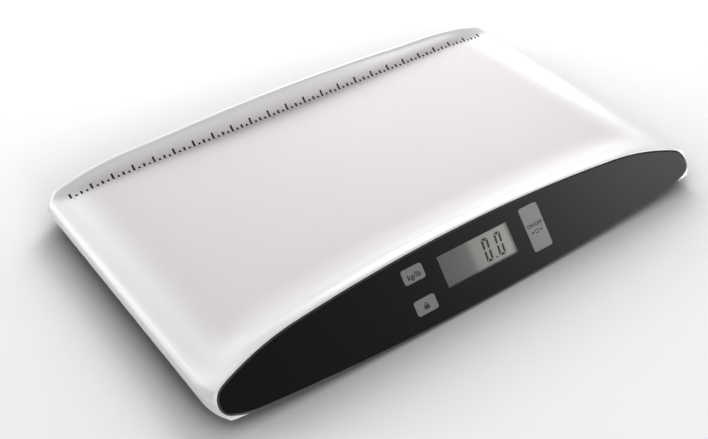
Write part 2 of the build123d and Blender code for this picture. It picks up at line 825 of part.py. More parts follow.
# Display board with what is soldered to it
board_plane = panel_plane.offset(-board_depth)
board_rear_plane = panel_plane.offset(-board_back)
parts_plane = Plane(origin=panel_point(0, board_v, board_back), x_dir=(1, 0, 0), z_dir=panel_normal)
with BuildPart() as display_board:
    with BuildSketch(board_plane):
        with Locations((0, board_v)):
            RectangleRounded(board_width, board_height, board_screw_inset_v / 2)
        with Locations(*board_screw_places):
            Circle(small_screw_radius + screw_hole_gap, mode=Mode.SUBTRACT)
        with Locations(*holder_pegs):
            Circle(holder_peg_radius + peg_clearance, mode=Mode.SUBTRACT)
    extrude(amount=-board_thickness)
finish(display_board, "display_board")
switch_face = board_depth - switch_height
with BuildPart() as switch_bodies:
    with BuildSketch(board_plane):
        for x, v, width, height in buttons.values():
            with Locations((x, v)):
                RectangleRounded(switch_size, switch_size, switch_size / 10)
    extrude(amount=switch_height)
    with BuildSketch(panel_plane.offset(-switch_face)):
        for x, v, width, height in buttons.values():
            with Locations((x, v)):
                Circle(plunger_radius + plunger_clearance)
    extrude(amount=-plunger_reach - button_travel - plunger_play, mode=Mode.SUBTRACT)
finish(switch_bodies, "switch_bodies")
with BuildPart() as controller_chip:
    with BuildSketch(parts_plane):
        with Locations(controller_place):
            Rectangle(controller_size, controller_size)
    extrude(amount=-controller_thickness)
    chamfer(controller_chip.edges().filter_by(Axis((0, 0, 0), panel_normal)), controller_thickness / 2)
finish(controller_chip, "controller_chip")
with BuildPart() as board_components:
    with BuildSketch(parts_plane):
        with Locations(*capacitor_places):
            Circle(capacitor_radius)
    extrude(amount=-capacitor_height)
    with BuildSketch(parts_plane):
        with Locations(converter_place):
            Rectangle(2 * capacitor_height, capacitor_height)
        with Locations(crystal_place):
            SlotOverall(2 * capacitor_height, capacitor_height)
    extrude(amount=-controller_thickness)
    with BuildSketch(parts_plane):
        with Locations(Location(resistor_row)):
            with GridLocations(resistor_pitch, 2 * resistor_pitch, resistor_count, 1):
                Rectangle(resistor_pitch / 3, resistor_pitch * 2 / 3)
    extrude(amount=-controller_thickness / 2)
finish(board_components, "board_components")
with BuildPart() as buzzer:
    with BuildSketch(parts_plane):
        with Locations(buzzer_place):
            Circle(buzzer_radius)
    extrude(amount=-buzzer_height)
    with BuildSketch(parts_plane.offset(-buzzer_height)):
        with Locations(buzzer_place):
            Circle(buzzer_radius / 6)
    extrude(amount=buzzer_height / 2, mode=Mode.SUBTRACT)
finish(buzzer, "buzzer")
connector_places = [(x, connector_rise) for x in (-front_lead_x, -rear_lead_x, 0, rear_lead_x, front_lead_x)]
with BuildPart() as lead_connectors:
    with BuildSketch(parts_plane):
        with Locations(*connector_places):
            Rectangle(connector_width, connector_height)
    extrude(amount=-connector_depth)
finish(lead_connectors, "lead_connectors")

# Buttons, each a cap with a flange behind the panel and a stem that bears on its switch plunger
flange_front = fascia_thickness + button_flange_rest_gap
stem_back = switch_face - button_travel - 2 * button_flange_rest_gap
for name, (x, v, width, height) in buttons.items():
    with BuildPart() as button:
        with BuildSketch(panel_plane.offset(button_proud)):
            with Locations((x, v)):
                RectangleRounded(width, height, button_corner_radius)
        extrude(amount=-button_proud - flange_front)
        fillet(button.faces().filter_by(panel_plane).sort_by(Axis.Y)[0].edges(), button_proud)
        with BuildSketch(panel_plane.offset(-flange_front)):
            with Locations((x, v)):
                RectangleRounded(width + 2 * button_flange, height + 2 * button_flange, button_corner_radius)
        extrude(amount=-button_flange_thickness)
        with BuildSketch(panel_plane.offset(-flange_front)):
            with Locations((x, v)):
                Circle(button_stem_radius)
        extrude(amount=flange_front - stem_back)
    finish(button, name)
    with BuildPart() as plunger:
        with BuildSketch(panel_plane.offset(-stem_back)):
            with Locations((x, v)):
                Circle(plunger_radius)
        extrude(amount=stem_back - switch_face - plunger_reach)
    finish(plunger, name.replace("button", "plunger"))

# Feet: a rubber pad in a ribbed cup whose stem carries the tongue of a load cell
for name, (x, y) in corners.items():
    cup_radius = well_radius - cup_gap
    with BuildPart() as foot_pad:
        with BuildSketch():
            with Locations((x, y)):
                Circle(pad_radius)
        extrude(amount=pad_thickness)
        chamfer(foot_pad.faces().sort_by(Axis.Z)[0].edges(), pad_chamfer)
    finish(foot_pad, f"foot_pad_{name}")
    cell_bottom = seat_z + carrier_floor
    with BuildPart() as foot_cup:
        with BuildSketch(Plane.XY.offset(cup_floor_z)):
            with Locations((x, y)):
                Circle(cup_radius)
        extrude(amount=cup_floor_top - cup_floor_z)
        with BuildSketch(Plane.XY.offset(cup_floor_top)):
            with Locations((x, y)):
                Circle(cup_radius)
                Circle(cup_radius - cup_skirt_wall, mode=Mode.SUBTRACT)
                Rectangle(2 * cup_radius - cup_skirt_wall, cup_rib_thickness)
                Rectangle(cup_rib_thickness, 2 * cup_radius - cup_skirt_wall)
        extrude(amount=cup_skirt_top - cup_floor_top)
        with BuildSketch(Plane.XY.offset(cup_floor_top)):
            with Locations((x, y)):
                Circle(stem_radius)
        extrude(amount=cell_bottom - cup_floor_top)
        with BuildSketch(Plane.XY.offset(cup_floor_z)):
            with Locations((x, y)):
                Circle(pad_radius + pad_gap)
        extrude(amount=pad_thickness - cup_floor_z, mode=Mode.SUBTRACT)
        with BuildSketch(Plane.XY.offset(cell_bottom)):
            with Locations((x, y)):
                Circle(small_screw_radius + screw_gap)
        extrude(amount=-foot_screw_bite - blind_hole_room, mode=Mode.SUBTRACT)
    finish(foot_cup, f"foot_cup_{name}")
    inward = 1 if x < 0 else -1
    screw_spots = [(x + side * carrier_screw_offset, y + side * carrier_screw_offset) for side in (-1, 1)]
    with BuildPart() as cell_carrier:
        with BuildSketch(Plane.XY.offset(seat_z)):
            with Locations((x, y)):
                RectangleRounded(carrier_size, carrier_size, carrier_screw_inset)
        extrude(amount=carrier_floor + carrier_wall_height)
        with BuildSketch(Plane.XY.offset(cell_bottom)):
            with Locations((x, y)):
                Rectangle(cell_size + 2 * cell_gap, cell_size + 2 * cell_gap)
        extrude(amount=carrier_wall_height, mode=Mode.SUBTRACT)
        with BuildSketch(Plane.XY.offset(seat_z)):
            with Locations((x, y)):
                Circle(carrier_hole_radius)
            with Locations(*screw_spots):
                Circle(small_screw_radius + screw_hole_gap)
        extrude(amount=carrier_floor + carrier_wall_height, mode=Mode.SUBTRACT)
        with BuildSketch(Plane.XY.offset(cell_top)):
            with Locations((x + inward * carrier_size / 2, y)):
                Rectangle(carrier_size / 2, 2 * sensor_lead_diameter)
        extrude(amount=carrier_wall_height, mode=Mode.SUBTRACT)
    finish(cell_carrier, f"cell_carrier_{name}")
    slot_width = cell_tongue_width + 2 * cell_slot_width
    slot_height = cell_size - 2 * cell_end_bar
    with BuildPart() as load_cell:
        with BuildSketch(Plane.XY.offset(cell_bottom)):
            with Locations((x, y)):
                RectangleRounded(cell_size, cell_size, cell_slot_width)
                Rectangle(slot_width, slot_height, mode=Mode.SUBTRACT)
            with Locations((x, y - cell_slot_width / 2)):
                Rectangle(cell_tongue_width, slot_height - cell_slot_width)
            with Locations((x, y)):
                Circle(small_screw_radius + screw_hole_gap, mode=Mode.SUBTRACT)
        extrude(amount=cell_thickness)
    finish(load_cell, f"load_cell_{name}")

with BuildPart() as strain_gauges:
    with BuildSketch(Plane.XY.offset(cell_top)):
        for x, y in corners.values():
            with Locations((x - gauge_width, y - cell_size / 4), (x + gauge_width, y - cell_size / 4)):
                Rectangle(gauge_width, gauge_length)
    extrude(amount=gauge_thickness)
finish(strain_gauges, "strain_gauges")

# Fasteners
down_from_carrier = Plane(origin=(0, 0, carrier_top), x_dir=(1, 0, 0), z_dir=(0, 0, -1))
down_from_cell = Plane(origin=(0, 0, cell_top), x_dir=(1, 0, 0), z_dir=(0, 0, -1))
case_screws = screw_group(
    Plane.XY.offset(case_seat_z),
    case_screw_places,
    case_screw_radius,
    case_post_top - case_seat_z + case_screw_reach,
    case_head_radius,
    case_head_height,
)
finish(case_screws, "case_screws")
board_screws = screw_group(
    board_rear_plane,
    board_screw_places,
    small_screw_radius,
    board_thickness + board_screw_bite,
    small_head_radius,
    small_head_height,
)
finish(board_screws, "board_screws")
carrier_screws = screw_group(
    down_from_carrier,
    [(x, -y) for x, y in carrier_screw_places],
    small_screw_radius,
    carrier_top - seat_z + carrier_screw_bite,
    small_head_radius,
    small_head_height,
)
finish(carrier_screws, "carrier_screws")
foot_screws = screw_group(
    down_from_cell,
    [(x, -y) for x, y in corners.values()],
    small_screw_radius,
    cell_thickness + foot_screw_bite,
    small_head_radius,
    small_head_height,
)
finish(foot_screws, "foot_screws")

# Leads inside the case, from the load cells and the battery bay to the back of the display board
lead_start_z = cell_top + sensor_lead_diameter / 2 + lead_lift
lead_z = base_rib_top + sensor_lead_diameter / 2 + lead_rib_gap
wire_z = base_rib_top + battery_lead_diameter / 2 + lead_rib_gap
connector_face = board_back + connector_depth
lead_approach = connector_face + lead_run_to_board
front_span = foot_x - front_lead_x
rear_span = foot_x - rear_lead_x
sensor_routes = {
    "front": [
        (10 - foot_x, -foot_y, lead_start_z),
        (32 - foot_x, -foot_y - 1, lead_start_z),
        (61 - foot_x, -foot_y - 8, lead_z + 1),
        (-front_lead_x - 0.40 * front_span, -135, lead_z),
        (-front_lead_x - 0.24 * front_span, -127, lead_z),
        (-front_lead_x - 0.11 * front_span, -117, lead_z),
        panel_point(-front_lead_x, connector_v, lead_approach),
        panel_point(-front_lead_x, connector_v, connector_face),
    ],
    "rear": [
        (10 - foot_x, foot_y, lead_start_z),
        (32 - foot_x, foot_y - 1, lead_start_z),
        (60 - foot_x, foot_y - 9, lead_z + 0.8),
        (-rear_lead_x - 0.45 * rear_span, 104, lead_z),
        (-rear_lead_x - 0.30 * rear_span, 82, lead_z),
        (-rear_lead_x - 0.22 * rear_span, 45, lead_z),
        (-rear_lead_x - 0.185 * rear_span, 0, lead_z),
        (-rear_lead_x - 0.14 * rear_span, -45, lead_z),
        (-rear_lead_x - 0.075 * rear_span, -84, lead_z),
        (-rear_lead_x - 0.017 * rear_span, -112, lead_z),
        panel_point(-rear_lead_x, connector_v, lead_approach),
        panel_point(-rear_lead_x, connector_v, connector_face),
    ],
}
for end, route_points in sensor_routes.items():
    for name, side in (("left", 1), ("right", -1)):
        mirrored = [(side * x, y, z) for x, y, z in route_points]
        label = f"sensor_lead_{end}_{name}"
        finish(lead_tube(mirrored, sensor_lead_diameter, label), label)
tab_end = -bay_length / 2 - tab_length
wire_routes = {
    "battery_lead_positive": [
        (tab_end, battery_rows[0], tab_z),
        (-44, battery_rows[0], wire_z),
        (-50, 4, wire_z),
        (-48, -24, wire_z),
        (-40, -52, wire_z),
        (-24, -82, wire_z),
        (-4, -108, wire_z),
        panel_point(connector_width / 4, connector_v, lead_approach),
        panel_point(connector_width / 4, connector_v, connector_face),
    ],
    "battery_lead_negative": [
        (tab_end, battery_rows[-1], tab_z),
        (-46, battery_rows[-1], wire_z),
        (-56, 48, wire_z),
        (-57, 16, wire_z),
        (-55, -18, wire_z),
        (-48, -52, wire_z),
        (-34, -82, wire_z),
        (-12, -110, wire_z),
        panel_point(-connector_width / 4, connector_v, lead_approach),
        panel_point(-connector_width / 4, connector_v, connector_face),
    ],
}
for label, route_points in wire_routes.items():
    finish(lead_tube(route_points, battery_lead_diameter, label), label)
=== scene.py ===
# Low white platform scale with a leaning dark display panel
import bpy
import bmesh
import json
import numpy as np
from math import atan, cos, pi, radians, sin, sqrt, tan
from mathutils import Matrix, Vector


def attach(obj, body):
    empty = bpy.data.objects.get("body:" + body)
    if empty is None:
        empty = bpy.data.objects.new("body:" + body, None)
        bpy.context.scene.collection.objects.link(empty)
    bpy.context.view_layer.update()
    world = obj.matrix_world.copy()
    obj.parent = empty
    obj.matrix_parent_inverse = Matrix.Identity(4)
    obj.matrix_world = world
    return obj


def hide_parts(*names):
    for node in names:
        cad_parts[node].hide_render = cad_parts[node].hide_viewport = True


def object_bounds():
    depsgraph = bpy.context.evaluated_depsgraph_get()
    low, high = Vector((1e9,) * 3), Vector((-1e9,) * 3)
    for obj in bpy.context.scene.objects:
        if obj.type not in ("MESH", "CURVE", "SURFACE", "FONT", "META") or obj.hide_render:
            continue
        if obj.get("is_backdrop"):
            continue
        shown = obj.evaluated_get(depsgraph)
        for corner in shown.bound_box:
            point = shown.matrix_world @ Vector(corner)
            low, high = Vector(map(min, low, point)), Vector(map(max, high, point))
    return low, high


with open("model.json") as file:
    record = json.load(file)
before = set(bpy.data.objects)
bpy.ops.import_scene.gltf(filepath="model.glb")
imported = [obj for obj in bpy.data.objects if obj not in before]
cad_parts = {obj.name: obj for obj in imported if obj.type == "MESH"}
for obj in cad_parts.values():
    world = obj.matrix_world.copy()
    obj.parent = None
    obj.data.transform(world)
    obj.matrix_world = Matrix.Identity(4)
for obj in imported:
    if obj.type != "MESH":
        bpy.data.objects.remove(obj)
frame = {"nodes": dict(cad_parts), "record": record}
nodes = frame["nodes"]
low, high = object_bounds()

mm = 0.001
x_axis = Vector((1, 0, 0))
y_axis = Vector((0, 1, 0))

# Sizes of the body that the tray skin follows, in millimetres. An arch's bends say where its arcs meet,
# as multiples of its mean slope.
half_length = high.x / mm
half_depth = high.y / mm
crest_z = high.z / mm
underside_z = 2.5
tip_z = 24.0
crown_bends = (0.638, 2.524)
crown_tip_radius = 11.2
wall = 2.6
panel_lean = radians(42.0)
rear_corner_radius = 14.0
rear_corner_turn = radians(75.0)
front_corner_radius = 64.0
front_corner_start = -140.0
rear_edge_radius = 5.0
rear_edge_fade = 10.0
front_edge_radius = 1.0

# Pocket that the panel lies in, and its outline's half width, bends and tip radius
pocket_depth = 2.5
pocket_edge_radius = 0.4
pocket_gap = 0.6
pocket_half_width = 309.0
pocket_bends = (0.653, 2.5)
pocket_tip_radius = 17.1
pocket_top_margin = 2.4

# Tray hollow: a flat floor that sinks to the ends and swells into the rims. Each rim has its width and
# the shares of it that round its crest and its foot.
floor_z = 40.0
floor_blend = 18.0
end_drop = 4.0
end_drop_start = 276.0
end_drop_end = 306.3
front_rim = (66.0, 0.26, 0.66)
rear_rim = (20.0, 0.20, 0.64)
rear_crest_y = half_depth - rear_edge_radius
rear_fullness = 3.5
swell_start = 150.0
swell_full = 280.0
swell_end = 300.0
# The tray floor's matt finish and painted shade fade out between these distances from the middle, and up this
# share of a rim
matt_shade_start = 255.0
matt_shade_end = 300.0
matt_shade_rise = 0.75

# Steps of the tray skin's mesh, and how near to each other its points are merged, in metres
middle_steps = 56
shoulder_steps = 30
tip_steps = 14
top_rows = 215
edge_steps = 5
pocket_edge_steps = 3
wall_rows = 6
skin_merge = 1e-6
piece_merge = 1e-7

panel_up = Vector((0, sin(panel_lean), cos(panel_lean)))
panel_out = Vector((0, -cos(panel_lean), sin(panel_lean)))
panel_foot = Vector((0, -half_depth, underside_z))


def panel_point(x, v, out=0.0):
    """A place on the panel's face plane, in millimetres: x across, v up its slope, out from it."""
    return panel_foot + x_axis * x + panel_up * v + panel_out * out


def slope_to(z):
    """How far up the panel's slope a height is."""
    return (z - underside_z) / cos(panel_lean)


def add_object(name, data):
    """A new object in the scene, for a mesh, a curve, a lamp or a camera."""
    holder = bpy.data.objects.new(name, data)
    bpy.context.scene.collection.objects.link(holder)
    return holder


# Materials. Noise mostly lies between these two values, and the colour and the gloss of a moulding vary at
# these scales.
noise_low = 0.3
noise_high = 0.7
mottle_scale = 14.0
gloss_scale = 60.0
bump_strength = 0.6

# Tray: colour and roughness of the rims and of the floor. The floor's darker colour is painted shade.
tray_rim_colour = (0.83, 0.825, 0.82)
tray_floor_shaded_colour = (0.66, 0.634, 0.629)
tray_rim_roughness = 0.28
tray_floor_roughness = 0.55

# Panel: its face's tone, and the painted highlight tone of its edge where the surface slants. A stop at 1
# faces straight out.
panel_face_tone = 0.002
panel_edge_highlight_tone = 0.085
panel_roughness = 0.40
panel_edge_highlight_stops = ((0.45, 0.0), (0.60, 1.0), (0.82, 1.0), (0.95, 0.0))

# Display glass: its half width in metres, and its tones from left to right, whose rise towards the right is
# painted light
lcd_reach = 0.046
lcd_painted_light_tones = ((0.0, 0.17), (0.38, 0.20), (0.48, 0.42), (1.0, 0.66))
lcd_warmth = 0.975


def new_material(name):
    """A node material with its Principled shader, its nodes and its links."""
    material = bpy.data.materials.new(name)
    material.use_nodes = True
    tree = material.node_tree
    return material, tree.nodes, tree.links, tree.nodes["Principled BSDF"]


def noise(made, links, scale, detail=2.0, stretch=(1, 1, 1)):
    """Noise in the object's own coordinates."""
    place = made.new("ShaderNodeTexCoord")
    mapping = made.new("ShaderNodeMapping")
    mapping.inputs["Scale"].default_value = stretch
    texture = made.new("ShaderNodeTexNoise")
    texture.inputs["Scale"].default_value = scale
    texture.inputs["Detail"].default_value = detail
    links.new(place.outputs["Object"], mapping.inputs["Vector"])
    links.new(mapping.outputs["Vector"], texture.inputs["Vector"])
    return texture.outputs["Fac"]


def ramp(made, links, value, stops, interpolation="LINEAR"):
    """A colour ramp over a value, from stops that are each a position and a colour."""
    node = made.new("ShaderNodeValToRGB")
    elements = node.color_ramp.elements
    node.color_ramp.interpolation = interpolation
    elements[0].position = stops[0][0]
    elements[1].position = stops[-1][0]
    for position, _ in stops[1:-1]:
        elements.new(position)
    for element, (_, colour) in zip(elements, stops):
        element.color = (*colour, 1)
    links.new(value, node.inputs["Fac"])
    return node.outputs["Color"]


def shades(made, links, value, colour, spread):
    """A ramp from a darker to a lighter shade of a colour, over a noise value."""
    darker = [part * (1 - spread) for part in colour]
    lighter = [min(1.0, part * (1 + spread)) for part in colour]
    return ramp(made, links, value, ((noise_low, darker), (noise_high, lighter)))


def map_range(made, links, value, old_range, new_range):
    """A value brought from one range into another."""
    node = made.new("ShaderNodeMapRange")
    node.inputs["From Min"].default_value = old_range[0]
    node.inputs["From Max"].default_value = old_range[1]
    node.inputs["To Min"].default_value = new_range[0]
    node.inputs["To Max"].default_value = new_range[1]
    links.new(value, node.inputs["Value"])
    return node.outputs["Result"]


def uneven(made, links, shader, value, least, most):
    """Roughness that varies with a noise value."""
    roughness = map_range(made, links, value, (noise_low, noise_high), (least, most))
    links.new(roughness, shader.inputs["Roughness"])


def colour_mix(made, links, factor, first, second, blend="MIX"):
    """A mix of two colours. Each value is a socket or a constant."""
    node = made.new("ShaderNodeMix")
    node.data_type = "RGBA"
    node.blend_type = blend
    for name, value in (("Factor", factor), ("A", first), ("B", second)):
        if isinstance(value, bpy.types.NodeSocket):
            links.new(value, node.inputs[name])
        else:
            node.inputs[name].default_value = value
    return node.outputs["Result"]


def relief(made, links, shader, value, depth):
    """Fine relief from a noise value, depth in millimetres."""
    bump = made.new("ShaderNodeBump")
    bump.inputs["Distance"].default_value = depth * mm
    bump.inputs["Strength"].default_value = bump_strength
    links.new(value, bump.inputs["Height"])
    links.new(bump.outputs["Normal"], shader.inputs["Normal"])


def moulded(name, colour, roughness, specular=0.5, grain=900.0, depth=0.02, spread=0.03, coat=0.0):
    """Moulded plastic, rubber or film: faint mottling, uneven gloss and a fine grain."""
    material, made, links, shader = new_material(name)
    tone = noise(made, links, mottle_scale)
    links.new(shades(made, links, tone, colour, spread), shader.inputs["Base Color"])
    gloss = noise(made, links, gloss_scale, detail=3.0)
    uneven(made, links, shader, gloss, roughness * 0.9, roughness * 1.1)
    relief(made, links, shader, noise(made, links, grain), depth)
    shader.inputs["Specular IOR Level"].default_value = specular
    shader.inputs["Coat Weight"].default_value = coat
    return material


def metal(name, colour, roughness, stretch=(1, 1, 1), depth=0.01):
    """Plated or ground metal with drawn out scratches."""
    material, made, links, shader = new_material(name)
    tone = noise(made, links, scale=30.0)
    links.new(shades(made, links, tone, colour, spread=0.06), shader.inputs["Base Color"])
    scratches = noise(made, links, scale=400.0, detail=4.0, stretch=stretch)
    uneven(made, links, shader, scratches, roughness * 0.75, roughness * 1.25)
    relief(made, links, shader, scratches, depth)
    shader.inputs["Metallic"].default_value = 1.0
    return material


def tray_plastic(name):
    """White moulding, glossy on the rims and ends, with a matt tray floor whose darker, slightly warmer
    colour is painted shade.
    """
    material, made, links, shader = new_material(name)
    inside = made.new("ShaderNodeAttribute")
    inside.attribute_name = "tray_floor"
    rim = shades(made, links, noise(made, links, scale=6.0), tray_rim_colour, spread=0.005)
    # Painted shade: the tray floor is given a darker colour than the rims.
    floor = shades(made, links, noise(made, links, scale=9.0), tray_floor_shaded_colour, spread=0.010)
    tone = colour_mix(made, links, inside.outputs["Fac"], rim, floor)
    links.new(tone, shader.inputs["Base Color"])
    gloss = map_range(
        made, links, inside.outputs["Fac"], (0.0, 1.0), (tray_rim_roughness, tray_floor_roughness)
    )
    links.new(gloss, shader.inputs["Roughness"])
    relief(made, links, shader, noise(made, links, scale=1100.0), depth=0.008)
    shader.inputs["Specular IOR Level"].default_value = 0.4
    return material


def panel_plastic(name):
    """Near black satin panel, with a painted highlight on its slanting cut edge."""
    material, made, links, shader = new_material(name)
    shape = made.new("ShaderNodeNewGeometry")
    facing = made.new("ShaderNodeVectorMath")
    facing.operation = "DOT_PRODUCT"
    facing.inputs[1].default_value = panel_out
    links.new(shape.outputs["Normal"], facing.inputs[0])
    # Painted highlight: the cut edge is made lighter where its surface slants away from the face.
    stops = [(position, (level,) * 3) for position, level in panel_edge_highlight_stops]
    edge = ramp(made, links, facing.outputs["Value"], stops)
    face = shades(made, links, noise(made, links, mottle_scale), (panel_face_tone,) * 3, spread=0.06)
    tone = colour_mix(made, links, edge, face, (*(panel_edge_highlight_tone,) * 3, 1))
    links.new(tone, shader.inputs["Base Color"])
    gloss = noise(made, links, scale=500.0)
    uneven(made, links, shader, gloss, panel_roughness * 0.98, panel_roughness * 1.02)
    relief(made, links, shader, noise(made, links, scale=1500.0), depth=0.006)
    shader.inputs["Specular IOR Level"].default_value = 0.09
    return material


def clear_plastic(name):
    """Clear acrylic: light passes straight through, with a surface shine."""
    material, made, links, _ = new_material(name)
    made.clear()
    shine = made.new("ShaderNodeBsdfGlossy")
    uneven(made, links, shine, noise(made, links, scale=40.0), least=0.05, most=0.09)
    through = made.new("ShaderNodeBsdfTransparent")
    through.inputs["Color"].default_value = (0.94, 0.94, 0.935, 1)
    angle = made.new("ShaderNodeFresnel")
    angle.inputs["IOR"].default_value = 1.3
    mix = made.new("ShaderNodeMixShader")
    out = made.new("ShaderNodeOutputMaterial")
    links.new(angle.outputs["Fac"], mix.inputs["Fac"])
    links.new(through.outputs["BSDF"], mix.inputs[1])
    links.new(shine.outputs["BSDF"], mix.inputs[2])
    links.new(mix.outputs["Shader"], out.inputs["Surface"])
    return material


def lcd_glass(name):
    """Grey liquid crystal glass with painted light: darker on its left part and lighter on its right, with
    faint upright bands.
    """
    material, made, links, shader = new_material(name)
    place = made.new("ShaderNodeTexCoord")
    parts = made.new("ShaderNodeSeparateXYZ")
    links.new(place.outputs["Object"], parts.inputs["Vector"])
    across = map_range(made, links, parts.outputs["X"], (-lcd_reach, lcd_reach), (0.0, 1.0))
    # Painted light: the glass is made lighter from left to right.
    stops = [(position, (tone, tone, tone * lcd_warmth)) for position, tone in lcd_painted_light_tones]
    base = ramp(made, links, across, stops, "B_SPLINE")
    bands = noise(made, links, scale=150.0, detail=1.0, stretch=(1, 0.02, 0.02))
    tint = shades(made, links, bands, (0.955, 0.955, 0.955), spread=0.045)
    tone = colour_mix(made, links, 1.0, base, tint, "MULTIPLY")
    links.new(tone, shader.inputs["Base Color"])
    shader.inputs["Roughness"].default_value = 0.45
    shader.inputs["Specular IOR Level"].default_value = 0.2
    return material


mouldings = {
    "shell_white": dict(
        colour=(0.84, 0.835, 0.83), roughness=0.28, specular=0.4, grain=1100.0, depth=0.008, spread=0.008
    ),
    "tape_black": dict(colour=(0.02, 0.02, 0.02), roughness=0.8, specular=0.3),
    "inner_black": dict(
        colour=(0.05, 0.05, 0.052), roughness=0.5, specular=0.4, grain=700.0, depth=0.03, spread=0.08
    ),
    "diffuser_white": dict(colour=(0.75, 0.76, 0.76), roughness=0.6),
    "elastomer_pink": dict(colour=(0.55, 0.32, 0.30), roughness=0.7, specular=0.3, grain=2000.0, spread=0.10),
    "board_green": dict(colour=(0.02, 0.11, 0.05), roughness=0.35, grain=300.0, depth=0.01, spread=0.12),
    "component_black": dict(
        colour=(0.025, 0.025, 0.027), roughness=0.6, specular=0.4, grain=1200.0, spread=0.12
    ),
    "connector_ivory": dict(colour=(0.70, 0.66, 0.56), roughness=0.5),
    "button_grey": dict(
        colour=(0.180, 0.174, 0.170), roughness=0.45, specular=0.35, grain=1300.0, depth=0.012
    ),
    "plunger_ivory": dict(colour=(0.60, 0.57, 0.50), roughness=0.45),
    "gauge_amber": dict(
        colour=(0.45, 0.24, 0.06), roughness=0.3, grain=400.0, depth=0.01, spread=0.15, coat=0.5
    ),
    "rubber_grey": dict(
        colour=(0.10, 0.10, 0.105), roughness=0.85, specular=0.2, grain=700.0, depth=0.05, spread=0.12
    ),
    "battery_wrap": dict(
        colour=(0.10, 0.11, 0.12), roughness=0.25, grain=200.0, depth=0.01, spread=0.10, coat=0.4
    ),
    "lead_grey": dict(colour=(0.30, 0.30, 0.31), roughness=0.6, specular=0.3),
    "lead_red": dict(colour=(0.45, 0.03, 0.03), roughness=0.5, specular=0.4),
    "lead_black": dict(colour=(0.02, 0.02, 0.02), roughness=0.5, specular=0.4),
    "print_black": dict(colour=(0.004, 0.004, 0.004), roughness=0.6, specular=0.2),
    "print_grey": dict(colour=(0.11, 0.11, 0.115), roughness=0.5, specular=0.4),
    "segment_grey": dict(colour=(0.022, 0.023, 0.023), roughness=0.5, specular=0.3),
    "legend_dark": dict(colour=(0.012, 0.012, 0.013), roughness=0.5, specular=0.3),
}
finishes = {name: moulded(name, **look) for name, look in mouldings.items()}
finishes["tray_white"] = tray_plastic("tray_white")
finishes["panel_dark"] = panel_plastic("panel_dark")
finishes["window_clear"] = clear_plastic("window_clear")
finishes["lcd_grey"] = lcd_glass("lcd_grey")
finishes["cell_steel"] = metal("cell_steel", (0.56, 0.57, 0.58), 0.34, stretch=(1, 0.08, 1))
finishes["nickel"] = metal("nickel", (0.70, 0.68, 0.64), 0.22)
finishes["zinc_steel"] = metal("zinc_steel", (0.62, 0.62, 0.60), 0.30)
for part in frame["record"]["subparts"]:
    node = nodes[part["node"]]
    node.data.materials.clear()
    node.data.materials.append(finishes[part["material_slot"]])


# Pieces

def make_piece(name, points, faces, body, finish, merge=piece_merge, floor_shares=None):
    """A closed mesh from points in millimetres, which rides on a body. Floor shares are for a smooth skin;
    they mark the tray floor's matt finish and painted shade.
    """
    mesh = bpy.data.meshes.new(name)
    mesh.from_pydata([point * mm for point in points], [], faces)
    if floor_shares:
        layer = mesh.attributes.new("tray_floor", "FLOAT", "POINT")
        layer.data.foreach_set("value", floor_shares)
    build = bmesh.new()
    build.from_mesh(mesh)
    bmesh.ops.remove_doubles(build, verts=build.verts, dist=merge)
    bmesh.ops.dissolve_degenerate(build, edges=build.edges, dist=merge)
    bmesh.ops.recalc_face_normals(build, faces=build.faces)
    build.to_mesh(mesh)
    build.free()
    if floor_shares:
        mesh.shade_smooth()
    else:
        mesh.shade_flat()
    piece = add_object(name, mesh)
    mesh.materials.append(finishes[finish])
    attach(piece, body)
    return piece


# Tray skin: an arched body with a straight hollow across it

def arch_columns(half_width, height, bends, tip_radius, inset):
    """Points (x, height) along an arch from its left tip to its right tip."""
    first, second = (bend * atan(height / half_width) for bend in bends)
    across = half_width - tip_radius * (1 - sin(second))
    up = height - tip_radius * cos(second)
    cross = (cos(first) - cos(second)) * sin(first) + (1 - cos(first)) * (sin(first) - sin(second))
    shoulder = (up * sin(first) - across * (1 - cos(first))) / cross
    middle = (across - shoulder * (sin(second) - sin(first))) / sin(first)
    shoulder_x = (middle - shoulder) * sin(first)
    shoulder_z = height - middle + (middle - shoulder) * cos(first)
    tip_x = shoulder_x + (shoulder - tip_radius) * sin(second)
    tip_height = shoulder_z + (shoulder - tip_radius) * cos(second)
    arcs = (
        (0.0, height - middle, middle, 0.0, first, middle_steps),
        (shoulder_x, shoulder_z, shoulder, first, second, shoulder_steps),
        (tip_x, tip_height, tip_radius, second, pi / 2, tip_steps),
    )
    right = []
    for centre_x, centre_z, radius, start, end, steps in arcs:
        reach = radius - inset
        for step in range(steps):
            turn = start + (end - start) * step / steps
            right.append((centre_x + reach * sin(turn), centre_z + reach * cos(turn)))
    right.append((tip_x + tip_radius - inset, tip_height))
    return [(-x, z) for x, z in reversed(right[1:])] + right


def clamp(value):
    """A value held between 0 and 1."""
    return min(1.0, max(0.0, value))


def ease(start, end, value):
    """A smooth step from 0 to 1 between two values."""
    t = clamp((value - start) / (end - start))
    return t * t * (3 - 2 * t)


def rim_share(distance, rim):
    """How much of its height a rim has at a distance in from its crest."""
    width, crest_round, foot_round = rim
    t = clamp(distance / width)
    total = 1 - crest_round / 2 - foot_round / 2
    if t < crest_round:
        part = t / crest_round
        fallen = crest_round * (part**3 - part**4 / 2)
    elif t < 1 - foot_round:
        fallen = t - crest_round / 2
    else:
        part = (1 - t) / foot_round
        fallen = total - foot_round * (part**3 - part**4 / 2)
    return 1 - fallen / total


def panel_edge_y(arch_z):
    """Where the panel's plane meets the arch."""
    return -half_depth + (arch_z - underside_z) * tan(panel_lean)


